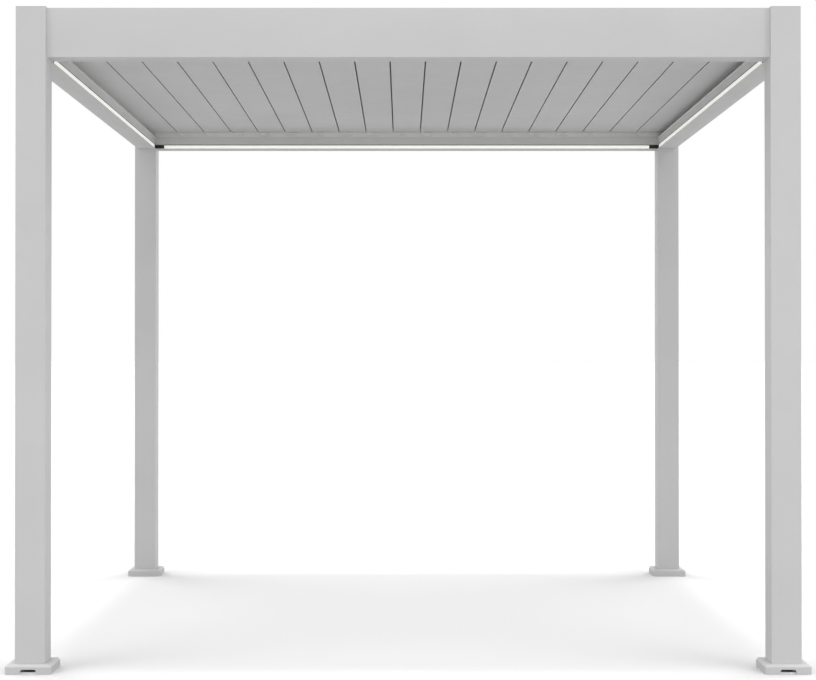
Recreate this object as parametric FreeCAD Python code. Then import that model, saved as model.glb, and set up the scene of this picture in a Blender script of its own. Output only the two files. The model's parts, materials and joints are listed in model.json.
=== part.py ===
import FreeCAD, Part

import math
import os

# Louvered pergola, millimetres, +Z up.
# The origin is on the floor, in the middle of the four posts.
# The posts stand at the corners of a square, X runs across the front and Y runs from front to back.
# Hollow louver blades run from front to back and turn together on a tie bar.

# Frame
overall_width = 3000.0
overall_depth = 3000.0
overall_height = 2546.0

# Posts
post_size = 115.0
post_wall = 2.5
post_edge_bevel = 1.2
post_cap_thickness = 3.0
cap_spigot_depth = 14.0
cap_spigot_wall = 3.0
cap_fit = 0.3

# Feet
foot_plate_thickness = 8.0
foot_plate_clearance = 3.0
anchor_edge_distance = 13.0
anchor_hole = 12.0
cover_overhang = 30.0
cover_height = 37.0
cover_wall = 2.5
cover_edge = 9.0
cover_post_fit = 0.3
notch_top_width = 53.0
notch_bottom_width = 66.0
notch_height = 18.0

# Beams
beam_height = 190.0
beam_thickness = 48.0
beam_wall = 2.5
beam_setback = 17.0

# Gutters and lights
gutter_wall = 2.5
gutter_height = 64.5
light_sill = 2.0
light_height = 18.0
light_groove = 3.0
light_depth = 4.0
connector_length = 47.0
connector_setback = 0.5

# Drains in the posts
drain_width = 34.0
drain_height = 28.0
outlet_width = 46.0
outlet_height = 16.0

# Louver blades
blade_pitch_wanted = 149.0
blade_side_overlap = 25.6
blade_gap = 6.0
blade_underside = 91.0
blade_wall = 1.8
blade_height = 38.0
blade_end_clearance = 5.0
blade_fall = 8.0
channel_width = 24.0
channel_wall_height = 20.0
channel_wall_lean = 1.6
channel_dam_height = 12.0
lip_reach = 18.0
lip_drop = 12.0
end_cap_thickness = 3.0
vent_size = 6.0
vent_from_edge = 24.0

# Pivots
pivot_from_edge = 38.0
pivot_height = 20.0
pivot_diameter = 10.0
pivot_clearance = 0.1
pivot_sides = 12
rail_thickness = 4.0
rail_lap = 24.0
rail_above_pivot = 9.0
keeper_width = 14.0
keeper_thickness = 3.0
spout_from_edge = 8.0
spout_width = 8.0
spout_depth = 7.0
spout_wall = 1.2
spout_reach = 22.0
spout_clearance = 5.5
slot_chords = 6
opening_angle = 90.0

# Linkage at the front
crank_radius = 45.0
crank_closed_angle = -8.0
crank_width = 16.0
crank_hub = 13.0
crank_thickness = 4.0
crank_gap = 5.0
crank_pin = 8.0
crank_pin_clearance = 0.1
tie_bar_height = 16.0
tie_bar_thickness = 5.0
tie_bar_overhang = 8.0
tie_bar_gap = 5.5

# Places worked out from the sizes above
half_width = overall_width / 2
half_depth = overall_depth / 2
inner_half_width = half_width - post_size
inner_half_depth = half_depth - post_size
post_x = half_width - post_size / 2
post_y = half_depth - post_size / 2
cover_reach = post_size / 2 + cover_overhang
plate_reach = cover_reach - cover_wall - foot_plate_clearance
anchor_reach = plate_reach - anchor_edge_distance
beam_top = overall_height - post_cap_thickness
beam_bottom = beam_top - beam_height
gutter_width = post_size - beam_setback - beam_thickness
light_top = beam_bottom + light_sill + light_height
trough_floor = light_top + light_groove
rim_top = beam_bottom + gutter_height
blade_bottom = beam_bottom + blade_underside
blade_field = 2 * (inner_half_width + blade_side_overlap)
blade_count = round((blade_field + blade_gap) / blade_pitch_wanted)
blade_pitch = (blade_field + blade_gap) / blade_count
blade_width = blade_pitch - blade_gap
blade_half_length = inner_half_depth - blade_end_clearance
first_blade_edge = -blade_field / 2
pivot_z = blade_bottom + pivot_height
rail_face = inner_half_depth + gutter_wall
rail_back = rail_face + rail_thickness
rail_top = pivot_z + rail_above_pivot
crank_face = rail_back + crank_gap
crank_back = crank_face + crank_thickness
tie_bar_face = crank_back + tie_bar_gap
tie_bar_back = tie_bar_face + tie_bar_thickness


def at(x, y, z):
    return FreeCAD.Vector(x, y, z)


def block(x0, x1, y0, y1, z0, z1):
    """A box between two corners."""
    low = at(min(x0, x1), min(y0, y1), min(z0, z1))
    return Part.makeBox(abs(x1 - x0), abs(y1 - y0), abs(z1 - z0), low)


def outline(points):
    """A closed wire through the points of a section in the XZ plane."""
    corners = [at(x, 0, z) for x, z in points]
    return Part.makePolygon(corners + corners[:1])


def mirrored_x(shape):
    return shape.mirror(at(0, 0, 0), at(1, 0, 0))


def mirrored_y(shape):
    return shape.mirror(at(0, 0, 0), at(0, 1, 0))


def prism(sides, radius, x, z, y0, y1, turn=0.0):
    """A bar with flat sides that runs along Y between two planes, with its corners on a circle."""
    points = []
    for number in range(sides):
        angle = math.radians(turn + 360.0 * number / sides)
        points.append((x + radius * math.cos(angle), z + radius * math.sin(angle)))
    return run_along_y(points, y0, y1)


def pivot_pin(diameter, x, z, y0, y1):
    """A pin whose corners lie on the circle that it turns on."""
    return prism(pivot_sides, diameter / 2, x, z, y0, y1)


def pivot_seat(diameter, clearance, x, z, y0, y1):
    """The hole for such a pin, whose flat sides clear the circle that the pin turns on."""
    flat = diameter / 2 + clearance
    radius = flat / math.cos(math.pi / pivot_sides)
    return prism(pivot_sides, radius, x, z, y0, y1, turn=180.0 / pivot_sides)


def run_along_y(points, y0, y1):
    """A section in the XZ plane, run along Y between two planes."""
    solid = Part.Face(outline(points)).extrude(at(0, abs(y1 - y0), 0))
    solid.translate(at(0, min(y0, y1), 0))
    return solid


def run_along_x(points, half_length):
    """A section in the YZ plane, run along X to both sides of the middle."""
    corners = [at(-half_length, y, z) for y, z in points]
    face = Part.Face(Part.makePolygon(corners + corners[:1]))
    return face.extrude(at(2 * half_length, 0, 0))


def vertical_edges(shape):
    """The straight edges of a solid that run along Z."""
    found = []
    for edge in shape.Edges:
        ends = edge.Vertexes
        if len(ends) == 2 and math.hypot(ends[0].X - ends[1].X, ends[0].Y - ends[1].Y) < 1e-6:
            found.append(edge)
    return found


def edges_at(shape, height):
    """The edges of a solid that lie in a level plane."""
    return [e for e in shape.Edges if all(abs(v.Z - height) < 1e-6 for v in e.Vertexes)]


def square_at_post(reach, z0, z1):
    """A square block round the middle of the right rear post."""
    return block(post_x - reach, post_x + reach, post_y - reach, post_y + reach, z0, z1)


def post():
    """The right rear post: a square tube with two drain windows and an outlet."""
    reach = post_size / 2
    foot = foot_plate_thickness
    tube = square_at_post(reach, foot, beam_top)
    tube = tube.makeChamfer(post_edge_bevel, vertical_edges(tube))
    tube = tube.cut(square_at_post(reach - post_wall, foot, beam_top))
    low = trough_floor + gutter_wall
    near = gutter_width / 2 - drain_width / 2
    far = gutter_width / 2 + drain_width / 2
    window_x = block(
        inner_half_width, inner_half_width + post_wall,
        inner_half_depth + near, inner_half_depth + far, low, low + drain_height,
    )
    window_y = block(
        inner_half_width + near, inner_half_width + far,
        inner_half_depth, inner_half_depth + post_wall, low, low + drain_height,
    )
    outlet = block(
        post_x - outlet_width / 2, post_x + outlet_width / 2,
        half_depth - post_wall, half_depth, foot, foot + outlet_height,
    )
    return tube.cut([window_x, window_y, outlet])


def post_cap():
    """The right rear cap: a flat lid with a square spigot that drops into the post."""
    reach = post_size / 2
    lid = square_at_post(reach, beam_top, overall_height)
    lid = lid.makeChamfer(post_edge_bevel, vertical_edges(lid))
    outer = reach - post_wall - cap_fit
    foot = beam_top - cap_spigot_depth
    spigot = square_at_post(outer, foot, beam_top)
    hollow = square_at_post(outer - cap_spigot_wall, foot, beam_top)
    return lid.fuse(spigot.cut(hollow)).removeSplitter()


def foot_plate():
    """The right rear foot plate, with a hole for an anchor bolt near each corner."""
    plate = square_at_post(plate_reach, 0, foot_plate_thickness)
    holes = []
    for side_x in (-1, 1):
        for side_y in (-1, 1):
            place = at(post_x + side_x * anchor_reach, post_y + side_y * anchor_reach, 0)
            holes.append(Part.makeCylinder(anchor_hole / 2, foot_plate_thickness, place))
    return plate.cut(holes)


def base_cover():
    """The right rear foot cover: a shell with bevelled top edges and a drain notch behind."""
    top = cover_height
    shell = square_at_post(cover_reach, 0, top)
    shell = shell.makeChamfer(cover_edge, edges_at(shell, top))
    under = top - cover_wall
    hollow = square_at_post(cover_reach - cover_wall, 0, under)
    hollow = hollow.makeChamfer(cover_edge, edges_at(hollow, under))
    sleeve = square_at_post(post_size / 2 + cover_post_fit, 0, top)
    notch = run_along_y([
        (post_x - notch_bottom_width / 2, 0),
        (post_x + notch_bottom_width / 2, 0),
        (post_x + notch_top_width / 2, notch_height),
        (post_x - notch_top_width / 2, notch_height),
    ], post_y, post_y + cover_reach)
    return shell.cut([hollow, sleeve, notch])


def side_beam():
    """The right beam: a hollow box section between the posts."""
    x1 = half_width - beam_setback
    x0 = x1 - beam_thickness
    y = inner_half_depth
    box = block(x0, x1, -y, y, beam_bottom, beam_top)
    bore = block(
        x0 + beam_wall, x1 - beam_wall, -y, y, beam_bottom + beam_wall, beam_top - beam_wall
    )
    return box.cut(bore)


def rear_beam():
    """The rear beam: the same section, along X."""
    y1 = half_depth - beam_setback
    y0 = y1 - beam_thickness
    x = inner_half_width
    box = block(-x, x, y0, y1, beam_bottom, beam_top)
    bore = block(
        -x, x, y0 + beam_wall, y1 - beam_wall, beam_bottom + beam_wall, beam_top - beam_wall
    )
    return box.cut(bore)


def gutter_section():
    """Section of a gutter: distance from its inner face, and height above the beam's underside."""
    floor = trough_floor - beam_bottom
    shelf = floor + gutter_wall
    back = gutter_width
    return [
        (0, 0),
        (back, 0),
        (back, gutter_height),
        (back - gutter_wall, gutter_height),
        (back - gutter_wall, shelf),
        (gutter_wall, shelf),
        (gutter_wall, gutter_height),
        (0, gutter_height),
        (0, floor),
        (back - gutter_wall, floor),
        (back - gutter_wall, light_sill),
        (0, light_sill),
    ]


def side_gutter():
    """The right gutter, between the posts, with its light chamber open to the inside."""
    points = [(inner_half_width + d, beam_bottom + h) for d, h in gutter_section()]
    return run_along_y(points, -inner_half_depth, inner_half_depth)


def rear_gutter():
    """The rear gutter: the same section, along X."""
    points = [(inner_half_depth + d, beam_bottom + h) for d, h in gutter_section()]
    return run_along_x(points, inner_half_width)


def side_light():
    """The right light: an opal bar in the mouth of the gutter's light chamber."""
    reach = inner_half_depth - connector_length
    return block(
        inner_half_width, inner_half_width + light_depth, -reach, reach,
        beam_bottom + light_sill, light_top,
    )


def rear_light():
    """The rear light: the same bar, along X."""
    reach = inner_half_width - connector_length
    return block(
        -reach, reach, inner_half_depth, inner_half_depth + light_depth,
        beam_bottom + light_sill, light_top,
    )


def corner_connectors():
    """The two black pieces that end the light bars at the right rear corner."""
    low = beam_bottom + light_sill
    along_y = block(
        inner_half_width + connector_setback, inner_half_width + light_depth,
        inner_half_depth - connector_length, inner_half_depth, low, light_top,
    )
    along_x = block(
        inner_half_width - connector_length, inner_half_width,
        inner_half_depth + connector_setback, inner_half_depth + light_depth, low, light_top,
    )
    return [along_y, along_x]


def pivot_x(number):
    """Where the pivot of a blade is, counted from 0 at the left."""
    return first_blade_edge + number * blade_pitch + pivot_from_edge


def has_spouts(number):
    """The first blade's channel lies over the side gutter, so it needs no spouts."""
    return number > 0


def spout_section():
    """Corners of a closed blade's drain spout, counted from its pivot."""
    left = spout_from_edge - pivot_from_edge
    low = blade_wall - pivot_height
    return left, left + spout_width, low, low + spout_depth


def arc_slot(x, y0, y1):
    """The room that a blade's drain spout sweeps in the rail, from closed to open."""
    left, right, low, high = spout_section()
    corners = [(u, w) for u in (left, right) for w in (low, high)]
    radii = [math.hypot(u, w) for u, w in corners]
    angles = [math.degrees(math.atan2(w, u)) % 360 for u, w in corners]
    margin = math.degrees(spout_clearance / min(radii))
    start = min(angles) - margin
    sweep = max(angles) + opening_angle + margin - start
    outer = (max(radii) + spout_clearance) / math.cos(math.radians(sweep / slot_chords / 2))
    inner = min(radii) - spout_clearance
    steps = [start + sweep * number / slot_chords for number in range(slot_chords + 1)]
    outline_points = [(outer, angle) for angle in steps]
    outline_points += [(inner, angle) for angle in reversed(steps)]
    points = []
    for radius, angle in outline_points:
        turn = math.radians(angle)
        points.append((x + radius * math.cos(turn), pivot_z + radius * math.sin(turn)))
    return run_along_y(points, y0, y1)


def pivot_rail():
    """The rear pivot rail: a flat bar with an open cradle and a curved slot for each blade."""
    low = rim_top - rail_lap
    rail = block(-inner_half_width, inner_half_width, rail_face, rail_back, low, rail_top)
    half = pivot_diameter / 2 + pivot_clearance
    tools = []
    for number in range(blade_count):
        x = pivot_x(number)
        tools.append(
            pivot_seat(pivot_diameter, pivot_clearance, x, pivot_z, rail_face, rail_back)
        )
        tools.append(block(x - half, x + half, rail_face, rail_back, pivot_z, rail_top))
        if has_spouts(number):
            tools.append(arc_slot(x, rail_face, rail_back))
    return rail.cut(tools)


def rail_keeper():
    """The flat strip on the rear rail that keeps the pivots in their cradles."""
    middle = (rail_face + rail_back) / 2
    return block(
        -inner_half_width, inner_half_width,
        middle - keeper_width / 2, middle + keeper_width / 2,
        rail_top, rail_top + keeper_thickness,
    )


def blade_outline():
    """Section of a blade: distance from its left edge, and height above its underside."""
    lip_top = blade_height - blade_fall
    tip = blade_width + lip_reach
    return [
        (0, 0),
        (blade_width, 0),
        (blade_width, lip_top - blade_wall),
        (tip - blade_wall, lip_top - blade_wall),
        (tip - blade_wall, lip_top - lip_drop),
        (tip, lip_top - lip_drop),
        (tip, lip_top),
        (blade_width, lip_top),
        (pivot_from_edge + pivot_diameter, blade_height),
        (channel_width + blade_wall, blade_height - blade_wall),
        (channel_width, channel_wall_height),
        (channel_width, blade_wall),
        (channel_wall_lean + blade_wall, blade_wall),
        (channel_wall_lean + blade_wall, channel_wall_height),
        (channel_wall_lean, channel_wall_height),
    ]


def blade_hollow():
    """Section of the closed chamber inside a blade."""
    lip_top = blade_height - blade_fall
    left = channel_width + blade_wall
    right = blade_width - blade_wall
    return [
        (left, blade_wall),
        (right, blade_wall),
        (right, lip_top - blade_wall),
        (pivot_from_edge + pivot_diameter, blade_height - blade_wall),
        (left + blade_wall, blade_height - 2 * blade_wall),
        (left, channel_wall_height),
    ]


def blade_section(points, left, y0, y1):
    """A section of a blade, set at the blade's left edge and run along Y."""
    return run_along_y([(left + u, blade_bottom + w) for u, w in points], y0, y1)


def spout(x, y0, y1):
    """The open spout at the end of a blade's channel, and the cut that lets the water in."""
    left, right, low, high = spout_section()
    body = block(x + left, x + right, y0, y1, pivot_z + low, pivot_z + high)
    trough = block(
        x + left + spout_wall, x + right - spout_wall, y0, y1,
        pivot_z + low + spout_wall, pivot_z + high,
    )
    return body, trough


def louver(number):
    """One blade with its end caps, pivots, drain spouts and crank."""
    left = first_blade_edge + number * blade_pitch
    x = pivot_x(number)
    half = blade_half_length
    inner = half - end_cap_thickness
    blade = blade_section(blade_outline(), left, -half, half)
    blade = blade.cut(blade_section(blade_hollow(), left, -inner, inner))
    vent_x = left + blade_width - vent_from_edge
    vent = block(
        vent_x - vent_size / 2, vent_x + vent_size / 2, -half, half,
        pivot_z - vent_size / 2, pivot_z + vent_size / 2,
    )
    added = [crank(x)]
    removed = [vent]
    for side, pivot_end in ((-1, crank_back), (1, rail_back)):
        cap_inside = side * inner
        dam = block(
            left + channel_wall_lean + blade_wall, left + channel_width,
            cap_inside, side * half,
            blade_bottom + blade_wall, blade_bottom + channel_dam_height,
        )
        added.append(dam)
        added.append(pivot_pin(pivot_diameter, x, pivot_z, side * half, side * pivot_end))
        if has_spouts(number):
            body, trough = spout(x, cap_inside, side * (half + spout_reach))
            added.append(body)
            removed.append(trough)
    return blade.fuse(added).cut(removed).removeSplitter()


def crank_place(x):
    """Where the pin at the end of a closed blade's crank is."""
    turn = math.radians(crank_closed_angle)
    return x + crank_radius * math.cos(turn), pivot_z + crank_radius * math.sin(turn)


def crank(x):
    """The crank on the front pivot of a blade, with the pin that holds the tie bar."""
    pin_x, pin_z = crank_place(x)
    half_hub = crank_hub / 2
    half_eye = crank_width / 2
    turn = math.radians(crank_closed_angle)
    points = []
    for u, w in (
        (-half_hub, 0), (-half_hub / 2, -half_hub), (crank_radius + half_eye / 2, -half_eye),
        (crank_radius + half_eye, 0), (crank_radius + half_eye / 2, half_eye),
        (-half_hub / 2, half_hub),
    ):
        points.append((
            x + u * math.cos(turn) - w * math.sin(turn),
            pivot_z + u * math.sin(turn) + w * math.cos(turn),
        ))
    arm = run_along_y(points, -crank_back, -crank_face)
    return arm.fuse(pivot_pin(crank_pin, pin_x, pin_z, -tie_bar_back, -crank_back))


def tie_bar():
    """The bar that joins all the cranks, so that the blades turn together."""
    first_x, z = crank_place(pivot_x(0))
    last_x, z = crank_place(pivot_x(blade_count - 1))
    half = tie_bar_height / 2
    end = tie_bar_overhang
    corner = tie_bar_overhang / 2
    bar = run_along_y([
        (first_x - end, z - corner), (first_x - corner, z - half),
        (last_x + corner, z - half), (last_x + end, z - corner),
        (last_x + end, z + corner), (last_x + corner, z + half),
        (first_x - corner, z + half), (first_x - end, z + corner),
    ], -tie_bar_back, -tie_bar_face)
    holes = []
    for number in range(blade_count):
        x, z = crank_place(pivot_x(number))
        holes.append(
            pivot_seat(crank_pin, crank_pin_clearance, x, z, -tie_bar_back, -tie_bar_face)
        )
    return bar.cut(holes)


def four_corners(make):
    """The right rear piece and its mirror images, by name."""
    right_rear = make()
    left_rear = mirrored_x(right_rear)
    return {
        "right_rear": right_rear,
        "left_rear": left_rear,
        "right_front": mirrored_y(right_rear),
        "left_front": mirrored_y(left_rear),
    }


def save(name, solids):
    """Write one node of the part."""
    shape = solids[0] if len(solids) == 1 else Part.makeCompound(solids)
    for solid in shape.Solids:
        if not solid.isValid():
            raise ValueError(name + " isn't a valid solid")
    shape.exportStep(os.path.join("parts", name + ".step"))
    print(name, len(shape.Solids), round(shape.Volume / 1000.0, 1), "cm3")


def build():
    os.makedirs("parts", exist_ok=True)
    for corner, shape in four_corners(post).items():
        save("post_" + corner, [shape])
    save("base_covers", list(four_corners(base_cover).values()))
    save("post_caps", list(four_corners(post_cap).values()))
    save("foot_plates", list(four_corners(foot_plate).values()))
    for name, along_y, along_x in (
        ("beam", side_beam(), rear_beam()),
        ("gutter", side_gutter(), rear_gutter()),
        ("light", side_light(), rear_light()),
    ):
        save(name + "_right", [along_y])
        save(name + "_left", [mirrored_x(along_y)])
        save(name + "_rear", [along_x])
        save(name + "_front", [mirrored_y(along_x)])
    connectors = corner_connectors()
    connectors += [mirrored_x(piece) for piece in connectors]
    connectors += [mirrored_y(piece) for piece in connectors]
    save("light_connectors", connectors)
    rail = pivot_rail()
    save("pivot_rail_rear", [rail])
    save("pivot_rail_front", [mirrored_y(rail)])
    save("rail_keeper_rear", [rail_keeper()])
    save("rail_keeper_front", [mirrored_y(rail_keeper())])
    for number in range(blade_count):
        save("louver_%02d" % (number + 1), [louver(number)])
    save("tie_bar", [tie_bar()])


build()
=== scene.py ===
import json
import logging
import math
from collections.abc import Callable
from dataclasses import dataclass, field
from enum import Enum

import bmesh
import bpy
from mathutils import Matrix, Vector


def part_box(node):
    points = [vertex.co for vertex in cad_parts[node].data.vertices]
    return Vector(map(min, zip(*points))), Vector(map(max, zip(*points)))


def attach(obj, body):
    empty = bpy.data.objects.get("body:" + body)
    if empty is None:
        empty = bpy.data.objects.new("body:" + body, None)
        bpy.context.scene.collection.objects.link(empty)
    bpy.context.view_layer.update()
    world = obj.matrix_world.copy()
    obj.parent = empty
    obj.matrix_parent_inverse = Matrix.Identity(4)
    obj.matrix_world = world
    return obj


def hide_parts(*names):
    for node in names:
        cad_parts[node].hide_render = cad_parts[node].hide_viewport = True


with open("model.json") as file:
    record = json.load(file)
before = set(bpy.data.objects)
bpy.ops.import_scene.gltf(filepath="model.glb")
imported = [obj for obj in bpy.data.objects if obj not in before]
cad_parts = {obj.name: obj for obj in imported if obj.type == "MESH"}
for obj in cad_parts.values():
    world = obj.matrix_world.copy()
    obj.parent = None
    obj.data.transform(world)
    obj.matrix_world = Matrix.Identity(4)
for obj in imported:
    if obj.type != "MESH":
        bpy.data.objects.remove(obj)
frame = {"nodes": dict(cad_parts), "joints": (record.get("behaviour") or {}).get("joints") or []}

log = logging.getLogger("pergola")

Colour = tuple[float, float, float]
Place = tuple[float, float, float]
Pair = tuple[float, float]

# Where shading turns sharp, where an edge is rounded, and where two faces count as one
SMOOTH_UNDER = math.radians(38.0)
SHARP_OVER = math.radians(30.0)
FLAT_UNDER = math.radians(0.5)

# From one corner of a hexagon to the next
SIXTH_TURN = math.radians(60.0)

# How near two places count as one, in metres, and how nearly a line follows a direction
SAME_PLACE = 1e-6
ALONG = 0.9
SQUARE_TO = 0.99

# Noise keeps mostly between these two values
NOISE_LOW = 0.3
NOISE_HIGH = 0.7

# Sockets of the colour mix node, which share their names with those of its other kinds
MIX_FACTOR = 0
MIX_ONE = 6
MIX_OTHER = 7
MIX_RESULT = 2


class Side(Enum):
    """The four sides of the roof frame: the axis that points outwards, and its sign."""

    RIGHT = (0, 1)
    LEFT = (0, -1)
    REAR = (1, 1)
    FRONT = (1, -1)

    @property
    def word(self) -> str:
        """The side's name as the nodes have it."""
        return self.name.lower()

    @property
    def axis(self) -> int:
        """The number of the axis that points outwards."""
        return self.value[0]

    @property
    def run(self) -> int:
        """The number of the axis that runs along the side."""
        return 1 - self.value[0]

    @property
    def sign(self) -> int:
        """1 where outwards is the axis's own way, and -1 where it is the other way."""
        return self.value[1]

    def reach(self, low: Vector, high: Vector) -> tuple[float, float]:
        """How far from the pergola's middle a box of this side lies.

        Args:
            low: The box's low corner.
            high: Its high corner.

        Returns:
            The distances of its near face and its far face.
        """
        near, far = sorted((abs(low[self.axis]), abs(high[self.axis])))
        return near, far

    def runs_along(self, edge: bmesh.types.BMEdge) -> bool:
        """Whether an edge runs along the side."""
        way = (edge.verts[0].co - edge.verts[1].co).normalized()
        return abs(way[self.run]) > ALONG

    def outward(self, edge: bmesh.types.BMEdge) -> float:
        """How far outwards an edge's first end lies."""
        return abs(edge.verts[0].co[self.axis])

    def place(self, along: float, outward: float, height: float) -> Vector:
        """A point of this side.

        Args:
            along: Distance along the side from its middle, in metres.
            outward: Distance outwards from the middle of the pergola, in metres.
            height: Height above the floor, in metres.

        Returns:
            The point in the pergola's own axes.
        """
        if self.axis == 0:
            return Vector((self.sign * outward, along, height))
        return Vector((along, self.sign * outward, height))


# Shader nodes and finishes


class NodeBench:
    """Adds shader nodes to one material and joins them."""

    def __init__(self, name: str) -> None:
        """Start a material with one surface shader.

        Args:
            name: The finish's name.
        """
        self.material = bpy.data.materials.new(name)
        self.material.use_nodes = True
        self.tree = self.material.node_tree
        self.tree.nodes.clear()
        self.output = self.tree.nodes.new("ShaderNodeOutputMaterial")
        self.shader = self.tree.nodes.new("ShaderNodeBsdfPrincipled")
        self.join(self.shader.outputs["BSDF"], self.output.inputs["Surface"])
        self.coordinates = self.tree.nodes.new("ShaderNodeTexCoord")

    def join(self, source: bpy.types.NodeSocket, target: bpy.types.NodeSocket) -> None:
        """Join an output socket to an input socket.

        Args:
            source: The output that gives the value.
            target: The input that takes it.
        """
        self.tree.links.new(source, target)

    def set(self, socket: str, value: float) -> None:
        """Set a constant on one of the surface shader's own sockets.

        Args:
            socket: The socket's name.
            value: What it is set to.
        """
        self.shader.inputs[socket].default_value = value

    def stretched(self, scale: Place) -> bpy.types.NodeSocket:
        """Object coordinates with another scale along each axis.

        Args:
            scale: The scale along X, Y and Z.

        Returns:
            The vector output.
        """
        mapping = self.tree.nodes.new("ShaderNodeMapping")
        mapping.inputs["Scale"].default_value = scale
        self.join(self.coordinates.outputs["Object"], mapping.inputs["Vector"])
        return mapping.outputs["Vector"]

    def noise(self, scale: float, detail: float, stretch: Place | None = None) -> bpy.types.NodeSocket:
        """Noise on object coordinates.

        Args:
            scale: How fine the noise is, in features per metre.
            detail: How many octaves it has.
            stretch: Another scale along each axis, where the noise isn't even.

        Returns:
            The factor output.
        """
        noise = self.tree.nodes.new("ShaderNodeTexNoise")
        noise.inputs["Scale"].default_value = scale
        noise.inputs["Detail"].default_value = detail
        source = self.stretched(stretch) if stretch else self.coordinates.outputs["Object"]
        self.join(source, noise.inputs["Vector"])
        return noise.outputs["Fac"]

    def spread(self, source: bpy.types.NodeSocket, low: float, high: float) -> bpy.types.NodeSocket:
        """Spread the middle of a factor over a range.

        Args:
            source: A factor that noise gives.
            low: The value at the factor's low end.
            high: The value at its high end.

        Returns:
            The ranged output.
        """
        ranged = self.tree.nodes.new("ShaderNodeMapRange")
        ranged.inputs["From Min"].default_value = NOISE_LOW
        ranged.inputs["From Max"].default_value = NOISE_HIGH
        ranged.inputs["To Min"].default_value = low
        ranged.inputs["To Max"].default_value = high
        self.join(source, ranged.inputs["Value"])
        return ranged.outputs["Result"]

    def blend(self, factor: bpy.types.NodeSocket, one: Colour, other: Colour) -> bpy.types.NodeSocket:
        """Blend two colours.

        Args:
            factor: How much of the other colour there is.
            one: The first colour.
            other: The other colour.

        Returns:
            The blended colour.
        """
        mix = self.tree.nodes.new("ShaderNodeMix")
        mix.data_type = "RGBA"
        mix.inputs[MIX_ONE].default_value = (*one, 1.0)
        mix.inputs[MIX_OTHER].default_value = (*other, 1.0)
        self.join(factor, mix.inputs[MIX_FACTOR])
        return mix.outputs[MIX_RESULT]

    def paint(
        self, socket: str, factor: bpy.types.NodeSocket, colour: Colour, dark: float, pale: float
    ) -> None:
        """Colour a socket of the surface shader between two shades of one colour.

        Args:
            socket: The socket's name.
            factor: How much of the paler shade there is.
            colour: The colour.
            dark: The darker shade's factor.
            pale: The paler shade's factor.
        """
        blend = self.blend(factor, shade(colour, dark), shade(colour, pale))
        self.join(blend, self.shader.inputs[socket])

    def roughen(self, factor: bpy.types.NodeSocket, low: float, high: float) -> None:
        """Let noise vary the roughness.

        Args:
            factor: The noise.
            low: The roughness at its low end.
            high: The roughness at its high end.
        """
        self.join(self.spread(factor, low, high), self.shader.inputs["Roughness"])

    def bump(self, height: bpy.types.NodeSocket, strength: float, depth: float) -> None:
        """Raise the surface by a height pattern.

        Args:
            height: The pattern.
            strength: How much of it shows.
            depth: Its depth in metres.
        """
        bump = self.tree.nodes.new("ShaderNodeBump")
        bump.inputs["Strength"].default_value = strength
        bump.inputs["Distance"].default_value = depth
        self.join(height, bump.inputs["Height"])
        self.join(bump.outputs["Normal"], self.shader.inputs["Normal"])


def shade(colour: Colour, factor: float) -> Colour:
    """A lighter or darker shade of a colour."""
    return (colour[0] * factor, colour[1] * factor, colour[2] * factor)


def grey(level: float) -> tuple[float, float, float, float]:
    """A grey, as a colour socket takes it."""
    return (level, level, level, 1.0)


@dataclass(frozen=True)
class PowderCoat:
    """Fine-textured powder coat, with the slight unevenness of a sprayed film."""

    name: str
    colour: Colour
    roughness: float = 0.5
    roughness_spread: float = 0.05
    unevenness: float = 0.022
    clouds_per_metre: float = 2.6
    ripples_per_metre: float = 14.0
    grains_per_metre: float = 950.0
    grain_strength: float = 0.35
    grain_depth: float = 0.00012
    specular: float = 0.4

    def material(self) -> bpy.types.Material:
        """Make the finish."""
        bench = NodeBench(self.name)
        cloud = bench.spread(bench.noise(self.clouds_per_metre, detail=4.0), 0.0, 1.0)
        bench.paint("Base Color", cloud, self.colour, 1.0 - self.unevenness, 1.0 + self.unevenness)
        ripple = bench.noise(self.ripples_per_metre, detail=3.0)
        spread = self.roughness_spread
        bench.roughen(ripple, self.roughness - spread, self.roughness + spread)
        grain = bench.noise(self.grains_per_metre, detail=2.0)
        bench.bump(grain, self.grain_strength, self.grain_depth)
        bench.set("Specular IOR Level", self.specular)
        return bench.material


@dataclass(frozen=True)
class OpalLens:
    """Opal plastic, lit evenly from behind."""

    name: str
    colour: Colour
    glow: float
    haze_per_metre: float = 30.0
    haze_shade: float = 0.96
    glow_shade: float = 0.985
    roughness_low: float = 0.3
    roughness_high: float = 0.4

    def material(self) -> bpy.types.Material:
        """Make the finish."""
        bench = NodeBench(self.name)
        haze = bench.noise(self.haze_per_metre, detail=2.0)
        bench.paint("Base Color", bench.spread(haze, 0.0, 1.0), self.colour, self.haze_shade, 1.0)
        bench.paint("Emission Color", bench.spread(haze, 0.0, 1.0), self.colour, self.glow_shade, 1.0)
        bench.roughen(haze, self.roughness_low, self.roughness_high)
        bench.set("Emission Strength", self.glow)
        return bench.material


@dataclass(frozen=True)
class MouldedPlastic:
    """Moulded plastic or rubber with a fine grain."""

    name: str
    colour: Colour
    roughness: float
    grains_per_metre: float = 1800.0
    grain_strength: float = 0.4
    grain_depth: float = 0.00008
    haze_per_metre: float = 40.0
    dark_shade: float = 0.9
    pale_shade: float = 1.08
    roughness_spread: float = 0.06

    def material(self) -> bpy.types.Material:
        """Make the finish."""
        bench = NodeBench(self.name)
        grain = bench.noise(self.grains_per_metre, detail=2.0)
        haze = bench.noise(self.haze_per_metre, detail=3.0)
        bench.paint(
            "Base Color", bench.spread(haze, 0.0, 1.0), self.colour, self.dark_shade, self.pale_shade
        )
        spread = self.roughness_spread
        bench.roughen(haze, self.roughness - spread, self.roughness + spread)
        bench.bump(grain, self.grain_strength, self.grain_depth)
        return bench.material


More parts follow.
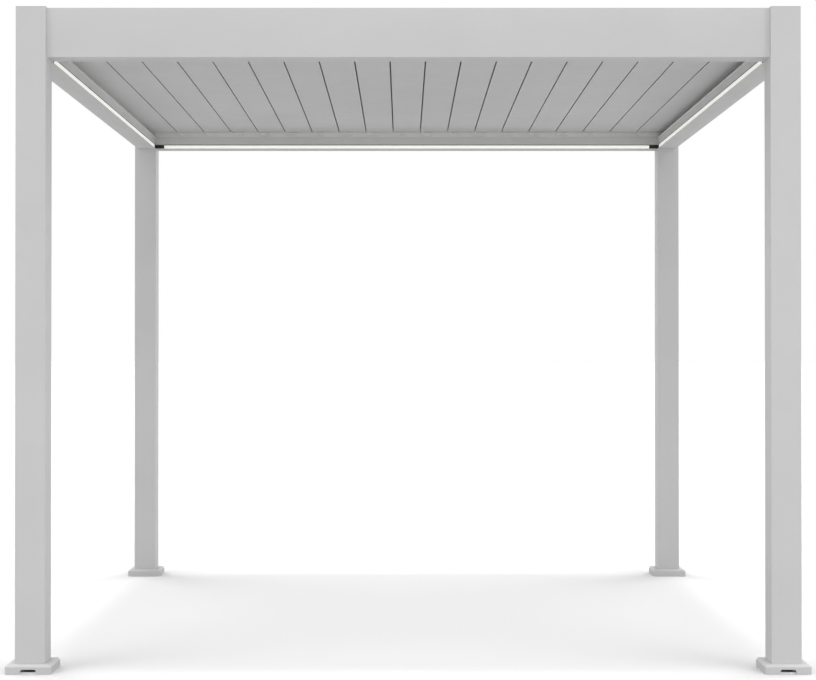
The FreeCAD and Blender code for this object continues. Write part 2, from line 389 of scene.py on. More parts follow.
@dataclass(frozen=True)
class GalvanisedSteel:
    """Hot-dip zinc with its spangle."""

    name: str
    colour: Colour
    spangles_per_metre: float = 120.0
    dark_shade: float = 0.84
    pale_shade: float = 1.12
    roughness_low: float = 0.36
    roughness_high: float = 0.5
    frost_per_metre: float = 260.0
    frost_strength: float = 0.3
    frost_depth: float = 0.0002
    metallic: float = 0.45

    def material(self) -> bpy.types.Material:
        """Make the finish."""
        bench = NodeBench(self.name)
        spangle = bench.tree.nodes.new("ShaderNodeTexVoronoi")
        spangle.inputs["Scale"].default_value = self.spangles_per_metre
        bench.join(bench.coordinates.outputs["Object"], spangle.inputs["Vector"])
        tone = bench.tree.nodes.new("ShaderNodeSeparateColor")
        bench.join(spangle.outputs["Color"], tone.inputs["Color"])
        bench.paint("Base Color", tone.outputs["Red"], self.colour, self.dark_shade, self.pale_shade)
        bench.roughen(tone.outputs["Green"], self.roughness_low, self.roughness_high)
        frost = bench.noise(self.frost_per_metre, detail=3.0)
        bench.bump(frost, self.frost_strength, self.frost_depth)
        bench.set("Metallic", self.metallic)
        return bench.material


@dataclass(frozen=True)
class DrawnMetal:
    """Bare or anodised metal with fine lines along the way that it was drawn or turned."""

    name: str
    colour: Colour
    roughness: float
    lines: Place
    dark_shade: float = 0.93
    pale_shade: float = 1.04
    smoother: float = 0.06
    rougher: float = 0.08
    line_strength: float = 0.2
    line_depth: float = 0.00004

    def material(self) -> bpy.types.Material:
        """Make the finish."""
        bench = NodeBench(self.name)
        line = bench.noise(1.0, detail=4.0, stretch=self.lines)
        bench.paint(
            "Base Color", bench.spread(line, 0.0, 1.0), self.colour, self.dark_shade, self.pale_shade
        )
        bench.roughen(line, self.roughness - self.smoother, self.roughness + self.rougher)
        bench.bump(line, self.line_strength, self.line_depth)
        bench.set("Metallic", 1.0)
        return bench.material


@dataclass(frozen=True)
class Finishes:
    """Every finish of the pergola, by the record's slot or by what has it."""

    frame_coat: bpy.types.Material
    cover_coat: bpy.types.Material
    gutter_coat: bpy.types.Material
    rail_coat: bpy.types.Material
    blade_coat: bpy.types.Material
    linkage_metal: bpy.types.Material
    galvanised_plate: bpy.types.Material
    opal_diffuser: bpy.types.Material
    black_plastic: bpy.types.Material
    seal_rubber: bpy.types.Material
    gasket_rubber: bpy.types.Material
    screw_steel: bpy.types.Material
    trough_liner: bpy.types.Material

    @classmethod
    def make(cls) -> "Finishes":
        """Make all the finishes."""
        return cls(
            frame_coat=PowderCoat("frame_coat", (0.60, 0.60, 0.60)).material(),
            cover_coat=PowderCoat("cover_coat", (0.60, 0.60, 0.60)).material(),
            gutter_coat=PowderCoat("gutter_coat", (0.58, 0.58, 0.575)).material(),
            # painted light: the rails' coat is paler than the frame's, to lift the shade that falls on
            # them
            rail_coat=PowderCoat("rail_coat", (0.70, 0.70, 0.69)).material(),
            blade_coat=PowderCoat("blade_coat", (0.57, 0.57, 0.57)).material(),
            linkage_metal=DrawnMetal("linkage_metal", (0.70, 0.71, 0.72), 0.34, (6, 900, 900)).material(),
            galvanised_plate=GalvanisedSteel("galvanised_plate", (0.80, 0.81, 0.82)).material(),
            opal_diffuser=OpalLens("opal_diffuser", (0.84, 0.835, 0.80), 0.52).material(),
            black_plastic=MouldedPlastic("black_plastic", (0.012, 0.012, 0.013), 0.42).material(),
            # partly painted shade: a real lip seal whose grey is set for how dark the gaps between blades
            # look
            seal_rubber=MouldedPlastic("seal_rubber", (0.36, 0.36, 0.358), 0.7, 900.0).material(),
            # painted shade: a near-black strip that stands for the shadow in the gap over each light bar
            gasket_rubber=MouldedPlastic("gasket_rubber", (0.05, 0.05, 0.051), 0.7, 900.0).material(),
            screw_steel=DrawnMetal("screw_steel", (0.60, 0.60, 0.59), 0.3, (700, 40, 700)).material(),
            trough_liner=MouldedPlastic("trough_liner", (0.86, 0.86, 0.85), 0.45, 1200.0).material(),
        )


# Mesh work


class Shop:
    """Turns finished meshes into pieces that ride on their bodies."""

    @staticmethod
    def soften(mesh: bmesh.types.BMesh) -> None:
        """Shade the mesh smooth, except across its sharp edges.

        Args:
            mesh: The mesh.
        """
        for face in mesh.faces:
            face.smooth = True
        for edge in mesh.edges:
            edge.smooth = len(edge.link_faces) == 2 and edge.calc_face_angle(0.0) < SMOOTH_UNDER

    @staticmethod
    def piece(
        name: str, mesh: bmesh.types.BMesh, finish: bpy.types.Material, body: str,
        slot: str | None = None,
    ) -> bpy.types.Object:
        """Make a piece from a mesh and let it ride on a body.

        Args:
            name: The piece's name.
            mesh: The finished mesh, which is freed.
            finish: Its material.
            body: The body that it rides on.
            slot: The record's slot that its finish comes from; not used.

        Returns:
            The new object.
        """
        bmesh.ops.recalc_face_normals(mesh, faces=mesh.faces)
        Shop.soften(mesh)
        data = bpy.data.meshes.new(name)
        mesh.to_mesh(data)
        mesh.free()
        data.materials.append(finish)
        thing = bpy.data.objects.new(name, data)
        bpy.context.scene.collection.objects.link(thing)
        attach(thing, body)
        log.info("%s: %d faces on %s", name, len(data.polygons), body)
        return thing

    @staticmethod
    def soft_edged(
        node: str, name: str, finish: bpy.types.Material, body: str, slot: str, radius: float,
        segments: int = 2,
    ) -> bpy.types.Object:
        """Stand in for a node with a copy whose sharp edges are rounded.

        Args:
            node: The node that the piece stands for.
            name: The piece's name.
            finish: Its material.
            body: The body that it rides on.
            slot: The record's slot that its finish comes from.
            radius: The edges' radius in metres.
            segments: How many faces round off an edge.

        Returns:
            The new object.
        """
        mesh = bmesh.new()
        mesh.from_mesh(frame["nodes"][node].data)
        bmesh.ops.remove_doubles(mesh, verts=mesh.verts, dist=SAME_PLACE)
        bmesh.ops.dissolve_limit(mesh, angle_limit=FLAT_UNDER, verts=mesh.verts, edges=mesh.edges)
        thing = Shop.piece(name, mesh, finish, body, slot)
        bevel = thing.modifiers.new("rounded edges", "BEVEL")
        bevel.width = radius
        bevel.segments = segments
        bevel.limit_method = "ANGLE"
        bevel.angle_limit = SHARP_OVER
        bevel.use_clamp_overlap = True
        bevel.harden_normals = True
        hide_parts(node)
        return thing


def facing(axis: Place) -> Matrix:
    """A turn that points a shape's own Z along an axis."""
    return Vector((0, 0, 1)).rotation_difference(Vector(axis)).to_matrix().to_4x4()


def round_off(
    mesh: bmesh.types.BMesh, edges: list[bmesh.types.BMEdge], width: float, segments: int
) -> None:
    """Round or bevel some edges of a mesh.

    Args:
        mesh: The mesh.
        edges: Its edges to round.
        width: How far the rounding reaches from an edge, in metres.
        segments: How many faces it has.
    """
    bmesh.ops.bevel(
        mesh, geom=edges, offset=width, affect="EDGES", segments=segments, profile=0.5, material=-1
    )


@dataclass
class SocketScrew:
    """A low round screw head with a hexagon socket."""

    radius: float = 0.0038
    height: float = 0.0022
    socket: float = 0.0018
    sides: int = 12
    rim_share: float = 0.4
    ledge_share: float = 0.25
    depth_share: float = 0.5

    def add(self, mesh: bmesh.types.BMesh, place: Place, axis: Place) -> None:
        """Add one head to a mesh.

        Args:
            mesh: The mesh that takes it.
            place: Where the underside of the head is.
            axis: The way that the head faces.
        """
        turn = Matrix.Translation(place) @ facing(axis)
        made = bmesh.ops.create_cone(
            mesh, cap_ends=True, segments=self.sides, radius1=self.radius, radius2=self.radius,
            depth=self.height, matrix=Matrix.Translation((0, 0, self.height / 2)),
        )
        verts = made["verts"]
        top = max((f for v in verts for f in v.link_faces), key=lambda f: f.calc_center_median().z)
        round_off(mesh, list(top.edges), self.height * self.rim_share, segments=2)
        grown = self.all_of(mesh, verts[0])
        top = max(
            {f for v in grown for f in v.link_faces if len(f.verts) == self.sides},
            key=lambda f: f.calc_center_median().z,
        )
        bmesh.ops.inset_region(mesh, faces=[top], thickness=self.radius * self.ledge_share)
        for vert in top.verts:
            angle = math.atan2(vert.co.y, vert.co.x) % SIXTH_TURN
            flat = self.socket / math.cos(angle - SIXTH_TURN / 2)
            vert.co.xy = vert.co.xy.normalized() * flat
        sunk = bmesh.ops.extrude_face_region(mesh, geom=[top])
        down = [g for g in sunk["geom"] if isinstance(g, bmesh.types.BMVert)]
        bmesh.ops.translate(mesh, verts=down, vec=(0, 0, -self.height * self.depth_share))
        if top.is_valid:
            bmesh.ops.delete(mesh, geom=[top], context="FACES_ONLY")
        bmesh.ops.transform(mesh, matrix=turn, verts=self.all_of(mesh, down[0]))

    @staticmethod
    def all_of(mesh: bmesh.types.BMesh, start: bmesh.types.BMVert) -> list[bmesh.types.BMVert]:
        """Every vertex that edges join to one vertex.

        Args:
            mesh: The mesh.
            start: A vertex of the shape. If it is gone, the mesh's newest one is taken.

        Returns:
            The vertices of that shape.
        """
        if not start.is_valid:
            mesh.verts.ensure_lookup_table()
            start = mesh.verts[-1]
        found = {start}
        queue = [start]
        while queue:
            vert = queue.pop()
            for edge in vert.link_edges:
                other = edge.other_vert(vert)
                if other not in found:
                    found.add(other)
                    queue.append(other)
        return list(found)


def strip(
    section: list[Pair], low: float, high: float, put: Callable[[float, float, float], Vector]
) -> bmesh.types.BMesh:
    """A section that is run along one side of the pergola, or along a blade.

    Args:
        section: The section's corners, outward and upward.
        low: Where the strip starts along the side.
        high: Where it ends.
        put: Turns along, outward and upward into a point.

    Returns:
        The strip's mesh.
    """
    mesh = bmesh.new()
    ring = [mesh.verts.new(put(low, out, up)) for out, up in section]
    face = mesh.faces.new(ring)
    run = bmesh.ops.extrude_face_region(mesh, geom=[face])
    moved = [g for g in run["geom"] if isinstance(g, bmesh.types.BMVert)]
    bmesh.ops.translate(mesh, verts=moved, vec=put(high, 0, 0) - put(low, 0, 0))
    bmesh.ops.recalc_face_normals(mesh, faces=mesh.faces)
    return mesh


# Sub-assemblies


@dataclass
class Posts:
    """The four square posts with their caps."""

    finishes: Finishes
    edge_radius: float = 0.0006
    cap_radius: float = 0.0007

    def build(self) -> None:
        """Make the posts and the caps."""
        for corner in ("right_rear", "left_rear", "right_front", "left_front"):
            Shop.soft_edged(
                "post_" + corner, "post_tube_" + corner, self.finishes.frame_coat, "frame",
                "frame_coat", self.edge_radius,
            )
        Shop.soft_edged(
            "post_caps", "post_lids", self.finishes.cover_coat, "frame", "cover_coat",
            self.cap_radius,
        )


@dataclass
class Feet:
    """The foot plates and the covers over them."""

    finishes: Finishes
    cover_radius: float = 0.0012
    plate_radius: float = 0.0006

    def build(self) -> None:
        """Make the covers and the plates."""
        Shop.soft_edged(
            "base_covers", "foot_covers", self.finishes.cover_coat, "frame", "cover_coat",
            self.cover_radius, segments=3,
        )
        Shop.soft_edged(
            "foot_plates", "anchor_plates", self.finishes.galvanised_plate, "frame",
            "galvanised_plate", self.plate_radius,
        )


@dataclass
class Beams:
    """The four hollow beams between the posts."""

    finishes: Finishes
    edge_radius: float = 0.0016
    wall: float = 0.0025

    def build(self) -> None:
        """Make the beams."""
        for side in Side:
            node = "beam_" + side.word
            low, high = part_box(node)
            middle = (low + high) / 2
            mesh = bmesh.new()
            bmesh.ops.create_cube(mesh, size=1.0)
            bmesh.ops.scale(mesh, vec=high - low, verts=mesh.verts)
            bmesh.ops.translate(mesh, vec=middle, verts=mesh.verts)
            ends = [f for f in mesh.faces if abs(f.normal[side.run]) > ALONG]
            bmesh.ops.delete(mesh, geom=ends, context="FACES_ONLY")
            long_edges = [e for e in mesh.edges if side.runs_along(e)]
            round_off(mesh, long_edges, self.edge_radius, segments=4)
            bmesh.ops.recalc_face_normals(mesh, faces=mesh.faces)
            side_face = max(mesh.faces, key=lambda f: f.calc_area())
            if (side_face.calc_center_median() - middle).dot(side_face.normal) < 0:
                bmesh.ops.reverse_faces(mesh, faces=mesh.faces)
            bmesh.ops.solidify(mesh, geom=mesh.faces, thickness=self.wall)
            piece = Shop.piece(
                "beam_tube_" + side.word, mesh, self.finishes.frame_coat, "frame", "frame_coat"
            )
            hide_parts(node)


@dataclass
class Gutters:
    """The four gutters on the beams' inner sides.

    Each has a liner in its trough and a dark strip over its light bar, painted shade for the gap
    there, and the two at the sides have a rounded bead along the rim.
    """

    finishes: Finishes
    edge_radius: float = 0.0005
    end_gap: float = 0.001
    bead_height: float = 0.0085
    bead_depth: float = 0.0030
    bead_drop: float = 0.0006
    bead_rounding: float = 0.4
    shade_strip_recess: float = 0.0006
    shade_strip_lap: float = 0.0012
    shade_strip_height: float = 0.0027
    shade_strip_rounding: float = 0.0006
    liner_from_face: float = 0.0027
    liner_floor: float = 0.0257
    liner_thickness: float = 0.0005
    liner_upstand: float = 0.030
    liner_drop: float = 0.001
    liner_under_rail: float = 0.0005

    def build(self) -> None:
        """Make the gutters, their liners and beads, and the painted-shade strips over the light bars."""
        for side in Side:
            Shop.soft_edged(
                "gutter_" + side.word, "gutter_channel_" + side.word, self.finishes.gutter_coat,
                "frame", "gutter_coat", self.edge_radius,
            )
            self.gasket(side)
            self.liner(side)
            if side in (Side.RIGHT, Side.LEFT):
                self.bead(side)

    def liner(self, side: Side) -> None:
        """Make the white membrane that seals one trough and its joint with the beam.

        Args:
            side: The side that it lies on.
        """
        low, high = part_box("gutter_" + side.word)
        near, far = side.reach(low, high)
        near += self.liner_from_face
        far -= self.liner_from_face
        floor = low.z + self.liner_floor
        top = high.z + self.liner_upstand
        inner_top = high.z - self.liner_drop
        if side in (Side.FRONT, Side.REAR):
            inner_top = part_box("pivot_rail_" + side.word)[0].z - self.liner_under_rail
        wall = self.liner_thickness
        mesh = strip(
            [
                (near, inner_top), (near, floor), (far, floor), (far, top),
                (far - wall, top), (far - wall, floor + wall), (near + wall, floor + wall),
                (near + wall, inner_top),
            ],
            low[side.run] + self.end_gap, high[side.run] - self.end_gap, side.place,
        )
        Shop.piece(
            "trough_liner_" + side.word, mesh, self.finishes.trough_liner, "frame", "gutter_coat"
        )

    def bead(self, side: Side) -> None:
        """Make the bead that stiffens the inner rim of one gutter.

        Args:
            side: The side that it lies on.
        """
        low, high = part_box("gutter_" + side.word)
        near, _ = side.reach(low, high)
        top = high.z - self.bead_drop
        mesh = strip(
            [
                (near, top - self.bead_height), (near, top), (near - self.bead_depth, top),
                (near - self.bead_depth, top - self.bead_height + self.bead_depth),
            ],
            low[side.run] + self.end_gap, high[side.run] - self.end_gap, side.place,
        )
        inner = near - self.bead_depth / 2
        edges = [e for e in mesh.edges if side.runs_along(e) and side.outward(e) < inner]
        round_off(mesh, edges, self.bead_depth * self.bead_rounding, segments=3)
        Shop.piece(
            "rim_bead_" + side.word, mesh, self.finishes.gutter_coat, "frame", "gutter_coat"
        )

    def gasket(self, side: Side) -> None:
        """Make the dark strip of painted shade in the groove over the light bar, where the gap's shadow
        falls.

        Args:
            side: The side that it lies on.
        """
        low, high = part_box("light_" + side.word)
        near, far = side.reach(low, high)
        # A near-black strip that laps the lens: painted shade for the gap over the light bar
        mesh = strip(
            [
                (near - self.shade_strip_recess, high.z - self.shade_strip_lap),
                (near + self.shade_strip_recess, high.z), (far, high.z),
                (far, high.z + self.shade_strip_height),
                (near + self.shade_strip_recess, high.z + self.shade_strip_height),
            ],
            low[side.run], high[side.run], side.place,
        )
        inner = (near + far) / 2
        edges = [e for e in mesh.edges if side.runs_along(e) and side.outward(e) < inner]
        round_off(mesh, edges, self.shade_strip_rounding, segments=2)
        Shop.piece(
            "light_shade_strip_" + side.word, mesh, self.finishes.gasket_rubber, "frame",
            "black_plastic",
        )


@dataclass
class Lights:
    """The opal light bars and the black pieces that end them at the corners."""

    finishes: Finishes
    crown: float = 0.0009
    crown_share: float = 0.3
    crown_turn: float = 0.0015
    crown_height: float = 0.005
    end_piece_setback: float = 0.0005
    rib_depth: float = 0.0006
    rib_margin: float = 0.0009
    rib_cuts: int = 8
    rib_step: int = 2

    def build(self) -> None:
        """Make the bars and the end pieces."""
        for side in Side:
            self.bar(side)
        self.end_pieces()

    def bar(self, side: Side) -> None:
        """Make the bar of one side, with a crowned face.

        Args:
            side: The side that it lies on.
        """
        node = "light_" + side.word
        low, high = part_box(node)
        near, far = side.reach(low, high)
        edge = near + self.crown
        turn = near + self.crown * self.crown_share
        section = [
            (edge, low.z), (turn, low.z + self.crown_turn), (near, low.z + self.crown_height),
            (near, high.z - self.crown_height), (turn, high.z - self.crown_turn), (edge, high.z),
            (far, high.z), (far, low.z),
        ]
        mesh = strip(section, low[side.run], high[side.run], side.place)
        piece = Shop.piece(
            "light_lens_" + side.word, mesh, self.finishes.opal_diffuser, "frame", "opal_diffuser"
        )
        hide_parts(node)

    def end_pieces(self) -> None:
        """Make the eight black end pieces, each with grip ribs."""
        joined = bmesh.new()
        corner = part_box("gutter_right")[0].x
        for side in Side:
            for way in (-1, 1):
                self.end_piece(joined, side, way, corner)
        piece = Shop.piece(
            "light_end_pieces", joined, self.finishes.black_plastic, "frame", "black_plastic"
        )
        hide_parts("light_connectors")

    def end_piece(self, joined: bmesh.types.BMesh, side: Side, way: int, corner: float) -> None:
        """Add one end piece.

        Args:
            joined: The mesh that takes it.
            side: The side that it lies on.
            way: The end of the side's bar that it is on.
            corner: Where it ends at the corner, along the side.
        """
        low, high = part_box("light_" + side.word)
        near, far = side.reach(low, high)
        near += self.end_piece_setback
        mesh = strip(
            [(near, low.z), (near, high.z), (far, high.z), (far, low.z)],
            way * high[side.run], way * corner, side.place,
        )
        along = [e for e in mesh.edges if side.runs_along(e)]
        bmesh.ops.subdivide_edges(mesh, edges=along, cuts=self.rib_cuts)
        fronts = sorted(
            (f for f in mesh.faces if f.normal[side.axis] * side.sign < -SQUARE_TO),
            key=lambda f: f.calc_center_median()[side.run],
        )
        bmesh.ops.inset_individual(
            mesh, faces=fronts[self.rib_step:self.rib_cuts:self.rib_step],
            thickness=self.rib_margin, depth=-self.rib_depth,
        )
        data = bpy.data.meshes.new("end piece")
        mesh.to_mesh(data)
        mesh.free()
        joined.from_mesh(data)
        bpy.data.meshes.remove(data)


@dataclass
class Rails:
    """The pivot rails, their keepers and the screws that hold both."""

    finishes: Finishes
    pivots: list[float]
    edge_radius: float = 0.0004
    screw_step: int = 2
    screw_past_pivot: float = 0.074
    screw_height: float = 0.010
    screw: SocketScrew = field(default_factory=SocketScrew)

    def build(self) -> None:
        """Make the rails, the keepers and the screws."""
        for side in (Side.REAR, Side.FRONT):
            Shop.soft_edged(
                # The rails and keepers take the paler coat, which is painted light against their shade
                "pivot_rail_" + side.word, "rail_bar_" + side.word, self.finishes.rail_coat,
                "frame", "rail_coat", self.edge_radius,
            )
            Shop.soft_edged(
                "rail_keeper_" + side.word, "keeper_strip_" + side.word, self.finishes.rail_coat,
                "frame", "rail_coat", self.edge_radius,
            )
            self.screws(side)

    def screws(self, side: Side) -> None:
        """Make the screws of one rail and its keeper.

        Args:
            side: The side that the rail is on.
        """
        rail_low, rail_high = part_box("pivot_rail_" + side.word)
        keep_low, keep_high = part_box("rail_keeper_" + side.word)
        back = side.sign * side.reach(rail_low, rail_high)[1]
        height = rail_low.z + self.screw_height
        middle = (keep_low.y + keep_high.y) / 2
        mesh = bmesh.new()
        for pivot in self.pivots[::self.screw_step]:
            x = pivot + self.screw_past_pivot
            self.screw.add(mesh, (x, back, height), (0, side.sign, 0))
            self.screw.add(mesh, (x, middle, keep_high.z), (0, 0, 1))
        Shop.piece("rail_screws_" + side.word, mesh, self.finishes.screw_steel, "frame")


@dataclass
class Blade:
    """One louver blade with its seal, end screws, journals and crank screws."""

    finishes: Finishes
    number: int
    pivot: Vector
    edge_radius: float = 0.0004
    pivot_from_edge: float = 0.038
    pivot_height: float = 0.020
    half_length: float = 1.380
    rail_back: float = 1.3915
    crank_back: float = 1.4005
    crank_thickness: float = 0.004
    bar_back: float = 1.4110
    head_gap: float = 0.0003
    crank_radius: float = 0.045
    crank_angle: float = -8.0
    journal_radius: float = 0.00502
    journal_edge: float = 0.0004
    journal_sides: int = 28
    lip_height: float = 0.0282
    seal_end_gap: float = 0.004
    seal_outline: tuple[Pair, ...] = (
        (0.1436, 0.0), (0.1436, 0.0022), (0.1450, 0.0052), (0.1474, 0.0072),
        (0.1500, 0.0076), (0.1518, 0.0062), (0.1526, 0.0034), (0.1526, 0.0),
    )
    cap_screws: tuple[Pair, ...] = ((0.060, 0.009), (0.134, 0.008), (0.096, 0.025))
    screw: SocketScrew = field(default_factory=SocketScrew)
    pin_screw: SocketScrew = field(
        default_factory=lambda: SocketScrew(radius=0.0062, height=0.0030, socket=0.0026)
    )

    @property
    def name(self) -> str:
        """The blade's body and node name."""
        return "louver_%02d" % self.number

    def at(self, across: float, along: float, up: float) -> Vector:
        """A point of the blade.

        Args:
            across: Distance from the blade's left edge.
            along: Distance towards the rear from its middle.
            up: Height above its underside.

        Returns:
            The point in the pergola's own axes.
        """
        return Vector((
            self.pivot.x - self.pivot_from_edge + across, along,
            self.pivot.z - self.pivot_height + up,
        ))

    def build(self) -> None:
        """Make the blade and all that is on it."""
        Shop.soft_edged(
            self.name, "blade_%02d" % self.number, self.finishes.blade_coat, self.name,
            "blade_coat", self.edge_radius,
        )
        self.seal()
        self.fixings()
        self.journals()

    def seal(self) -> None:
        """Make the rubber seal under the blade's lip, which rests over the next blade's wall.

        Its outline is given across the blade and down from the lip. Its grey is partly painted shade.
        """
        section = [(across, self.lip_height - drop) for across, drop in self.seal_outline]
        end = self.half_length - self.seal_end_gap
        mesh = strip(section, -end, end, lambda along, out, up: self.at(out, along, up))
        Shop.piece(
            "lip_seal_%02d" % self.number, mesh, self.finishes.seal_rubber, self.name,
            "black_plastic",
        )

    def fixings(self) -> None:
        """Make the screws of the end caps, of the crank and of the pin that holds the tie bar."""
        mesh = bmesh.new()
        for end in (-1, 1):
            for across, up in self.cap_screws:
                self.screw.add(mesh, self.at(across, end * self.half_length, up), (0, end, 0))
        turn = math.radians(self.crank_angle)
        pin = self.pivot + Vector((
            self.crank_radius * math.cos(turn), 0, self.crank_radius * math.sin(turn)
        ))
        self.pin_screw.add(mesh, (pin.x, -self.bar_back - self.head_gap, pin.z), (0, -1, 0))
        self.pin_screw.add(mesh, (self.pivot.x, -self.crank_back, self.pivot.z), (0, -1, 0))
        Shop.piece("blade_screws_%02d" % self.number, mesh, self.finishes.screw_steel, self.name)

    def journals(self) -> None:
        """Make the turned journals round the blade's two pivots."""
        mesh = bmesh.new()
        front = -self.crank_back + self.crank_thickness
        for near, far in ((-self.half_length, front), (self.half_length, self.rail_back)):
            place = Vector((self.pivot.x, (near + far) / 2, self.pivot.z))
            made = bmesh.ops.create_cone(
                mesh, cap_ends=True, segments=self.journal_sides, radius1=self.journal_radius,
                radius2=self.journal_radius, depth=abs(far - near),
                matrix=Matrix.Translation(place) @ facing((0, 1, 0)),
            )
            rims = [
                e for e in {e for v in made["verts"] for e in v.link_edges}
                if abs(e.verts[0].co.y - e.verts[1].co.y) < SAME_PLACE
            ]
            round_off(mesh, rims, self.journal_edge, segments=1)
        Shop.piece(
            "journals_%02d" % self.number, mesh, self.finishes.linkage_metal, self.name,
            "linkage_metal",
        )


@dataclass
class Linkage:
    """The bar that joins the blades' cranks."""

    finishes: Finishes
    edge_radius: float = 0.0007

    def build(self) -> None:
        """Make the bar."""
        Shop.soft_edged(
            "tie_bar", "link_bar", self.finishes.linkage_metal, "tie_bar", "linkage_metal",
            self.edge_radius,
        )


# Studio


@dataclass
class Studio:
    """The camera, the lamps, the pale floor and the white background."""

    eye: Place = (-0.0180, -7.9785, 1.2053)
    upward_tilt: float = 0.4165
    sensor: float = 36.0
    lens: float = 74.913
    shift: Pair = (0.00554, 0.00551)
    sight: float = 1000.0
    sky: float = 0.88
    sun: float = 1.1
    sun_softness: float = 6.0
    front_power: float = 85.0
    front_place: Place = (0, -9.5, 1.7)
    front_target: Place = (0, 0, 1.5)
    front_size: float = 4.0
    left_power: float = 80.0
    right_power: float = 120.0
    front_share: float = 0.4
    side_place: Place = (6.5, 5.5, 0.8)
    side_size: float = 1.8
    upward_power: float = 5.3
    upward_place: Place = (0, 0, 0.03)
    upward_target: Place = (0, 0, 2)
    upward_size: float = 2.7
    streak_sun: float = 2.7
    streak_softness: float = 46.0
    streak_elevation: float = 24.0
    roof_shadow_sun: float = 0.55
    roof_shadow_softness: float = 5.0
    middle_power: float = 5.0
    middle_size: float = 1.8
    middle_height: float = 2.3
    floor_reach: float = 400.0
    floor_grey: float = 0.50
    floor_pale: float = 0.411
    floor_white_share: float = 0.050

    def build(self) -> None:
        """Set up everything round the pergola."""
        self.camera()
        self.lamps()
        self.background()
        self.floor_lamps(self.floor())
        bpy.context.scene.view_settings.view_transform = "Standard"

    def camera(self) -> None:
        """Place the camera square to the front, tilted up by less than a degree."""
        data = bpy.data.cameras.new("camera")
        data.sensor_fit = "HORIZONTAL"
        data.sensor_width = self.sensor
        data.lens = self.lens
        data.shift_x, data.shift_y = self.shift
        data.clip_end = self.sight
        camera = bpy.data.objects.new("camera", data)
        camera.location = self.eye
        camera.rotation_euler = (math.radians(90 + self.upward_tilt), 0, 0)
        bpy.context.scene.collection.objects.link(camera)
        bpy.context.scene.camera = camera

    def lamp(
        self, name: str, place: Place, target: Place, size: float, power: float
    ) -> bpy.types.Object:
        """Place one soft lamp.

        Args:
            name: The lamp's name.
            place: Where it is.
            target: What it points at.
            size: The length of its square side.
            power: Its power in watts.

        Returns:
            The lamp.
        """
        data = bpy.data.lights.new(name, "AREA")
        data.size = size
        data.energy = power
        lamp = bpy.data.objects.new(name, data)
        lamp.location = place
        way = Vector(target) - Vector(place)
        lamp.rotation_euler = way.to_track_quat("-Z", "Y").to_euler()
        bpy.context.scene.collection.objects.link(lamp)
        return lamp

    def lamps(self) -> None:
        """Place the soft lamps round the pergola and on the floor, and the light from above."""
        self.lamp("front", self.front_place, self.front_target, self.front_size, self.front_power)
        x, y, z = self.side_place
        for word, across, power in (("left", -x, self.left_power), ("right", x, self.right_power)):
            for depth, back, share in (("front", -y, self.front_share), ("rear", y, 1.0)):
                self.lamp(
                    word + "_" + depth, (across, back, z), (0, 0, z), self.side_size, power * share
                )
        upward = self.lamp(
            "upward", self.upward_place, self.upward_target, self.upward_size, self.upward_power
        )
        upward.visible_camera = False
        upward.visible_glossy = False
        self.far_lamp("above", self.sun, self.sun_softness, 0, 0)

    def floor_lamps(self, floor: bpy.types.Object) -> None:
        """Place the lamps that light only the floor, and send no light on from it.

        Four low ones on the diagonals let the posts' shadows run inwards, one overhead draws the
        roof's shadow, and one under the roof evens out the floor's middle.

        Args:
            floor: The floor.
        """
        lamps = [
            self.far_lamp(
                "streak_%d" % turn, self.streak_sun, self.streak_softness,
                90 - self.streak_elevation, turn,
            )
            for turn in (45, 135, 225, 315)
        ]
        lamps.append(
            self.far_lamp("roof_shadow", self.roof_shadow_sun, self.roof_shadow_softness, 0, 0)
        )
        middle = self.lamp(
            "middle", (0, 0, self.middle_height), (0, 0, 0), self.middle_size, self.middle_power
        )
        middle.visible_camera = False
        lamps.append(middle)
        lit = bpy.data.collections.new("lit floor")
        lit.objects.link(floor)
        for lamp in lamps:
            lamp.data.cycles.max_bounces = 0
            lamp.data.cycles.use_multiple_importance_sampling = False
            lamp.light_linking.receiver_collection = lit

    def far_lamp(
        self, name: str, strength: float, softness: float, tilt: float, turn: float
    ) -> bpy.types.Object:
        """Place a lamp as far off as the sun.

        Args:
            name: The lamp's name.
            strength: Its strength.
            softness: The angle that it fills, in degrees.
            tilt: How far it leans from overhead, in degrees.
            turn: Which way it leans, in degrees about the vertical.

        Returns:
            The lamp.
        """
        data = bpy.data.lights.new(name, "SUN")
        data.energy = strength
        data.angle = math.radians(softness)
        lamp = bpy.data.objects.new(name, data)
        lamp.rotation_euler = (math.radians(tilt), 0, math.radians(turn))
        bpy.context.scene.collection.objects.link(lamp)
        return lamp

    def background(self) -> None:
        """Make the world: plain light for the pergola, and white behind it."""
        world = bpy.data.worlds.new("studio")
        world.use_nodes = True
        bpy.context.scene.world = world
        tree = world.node_tree
        tree.nodes.clear()
        output = tree.nodes.new("ShaderNodeOutputWorld")
        plain = tree.nodes.new("ShaderNodeBackground")
        plain.inputs["Color"].default_value = grey(1.0)
        plain.inputs["Strength"].default_value = self.sky
        white = tree.nodes.new("ShaderNodeBackground")
        white.inputs["Color"].default_value = grey(1.0)
        white.inputs["Strength"].default_value = 1.0
        path = tree.nodes.new("ShaderNodeLightPath")
        seen = tree.nodes.new("ShaderNodeMath")
        seen.operation = "MAXIMUM"
        mix = tree.nodes.new("ShaderNodeMixShader")
        tree.links.new(path.outputs["Is Camera Ray"], seen.inputs[0])
        tree.links.new(path.outputs["Is Glossy Ray"], seen.inputs[1])
        tree.links.new(seen.outputs["Value"], mix.inputs["Fac"])
        tree.links.new(plain.outputs["Background"], mix.inputs[1])
        tree.links.new(white.outputs["Background"], mix.inputs[2])
        tree.links.new(mix.outputs["Shader"], output.inputs["Surface"])

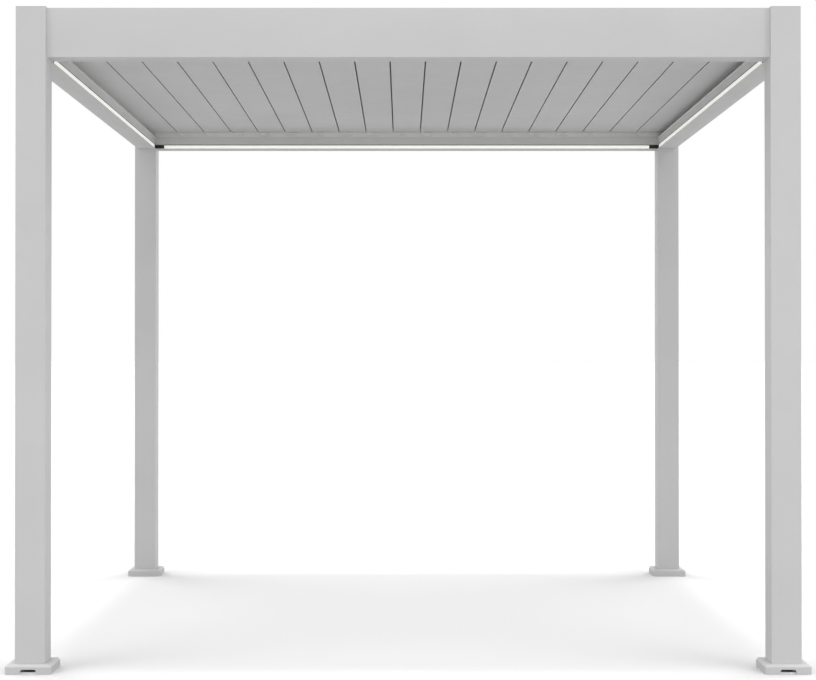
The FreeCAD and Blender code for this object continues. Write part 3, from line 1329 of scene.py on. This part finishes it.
    def floor(self) -> bpy.types.Object:
        """Make the pale floor, which is white apart from the pergola's shadow.

        Returns:
            The floor.
        """
        mesh = bmesh.new()
        bmesh.ops.create_grid(mesh, x_segments=2, y_segments=2, size=self.floor_reach)
        data = bpy.data.meshes.new("floor")
        mesh.to_mesh(data)
        mesh.free()
        data.materials.append(self.floor_paint())
        floor = bpy.data.objects.new("floor", data)
        bpy.context.scene.collection.objects.link(floor)
        return floor

    def floor_paint(self) -> bpy.types.Material:
        """Make the floor's material: plain grey for its light, and pale for the camera."""
        material = bpy.data.materials.new("floor")
        material.use_nodes = True
        tree = material.node_tree
        tree.nodes.clear()
        output = tree.nodes.new("ShaderNodeOutputMaterial")
        path = tree.nodes.new("ShaderNodeLightPath")
        plain = tree.nodes.new("ShaderNodeBsdfDiffuse")
        plain.inputs["Color"].default_value = grey(self.floor_grey)
        pale = tree.nodes.new("ShaderNodeBsdfDiffuse")
        pale.inputs["Color"].default_value = grey(self.floor_pale)
        white = tree.nodes.new("ShaderNodeEmission")
        white.inputs["Strength"].default_value = 1.0
        seen = tree.nodes.new("ShaderNodeMixShader")
        seen.inputs["Fac"].default_value = self.floor_white_share
        mix = tree.nodes.new("ShaderNodeMixShader")
        tree.links.new(pale.outputs["BSDF"], seen.inputs[1])
        tree.links.new(white.outputs["Emission"], seen.inputs[2])
        tree.links.new(path.outputs["Is Camera Ray"], mix.inputs["Fac"])
        tree.links.new(plain.outputs["BSDF"], mix.inputs[1])
        tree.links.new(seen.outputs["Shader"], mix.inputs[2])
        tree.links.new(mix.outputs["Shader"], output.inputs["Surface"])
        return material


def main() -> None:
    """Build the studio and every sub-assembly."""
    logging.basicConfig(level=logging.INFO, format="%(name)s %(message)s")
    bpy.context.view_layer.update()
    Studio().build()
    finishes = Finishes.make()
    joints = {j["child"]: Vector(j["pos_m"]) for j in frame["joints"]}
    blades = sorted(name for name in joints if name.startswith("louver_"))
    pivots = [joints[name].x for name in blades]
    Posts(finishes).build()
    Feet(finishes).build()
    Beams(finishes).build()
    Gutters(finishes).build()
    Lights(finishes).build()
    Rails(finishes, pivots).build()
    for number, name in enumerate(blades, start=1):
        Blade(finishes, number, joints[name]).build()
    Linkage(finishes).build()


if __name__ == "__main__":
    main()
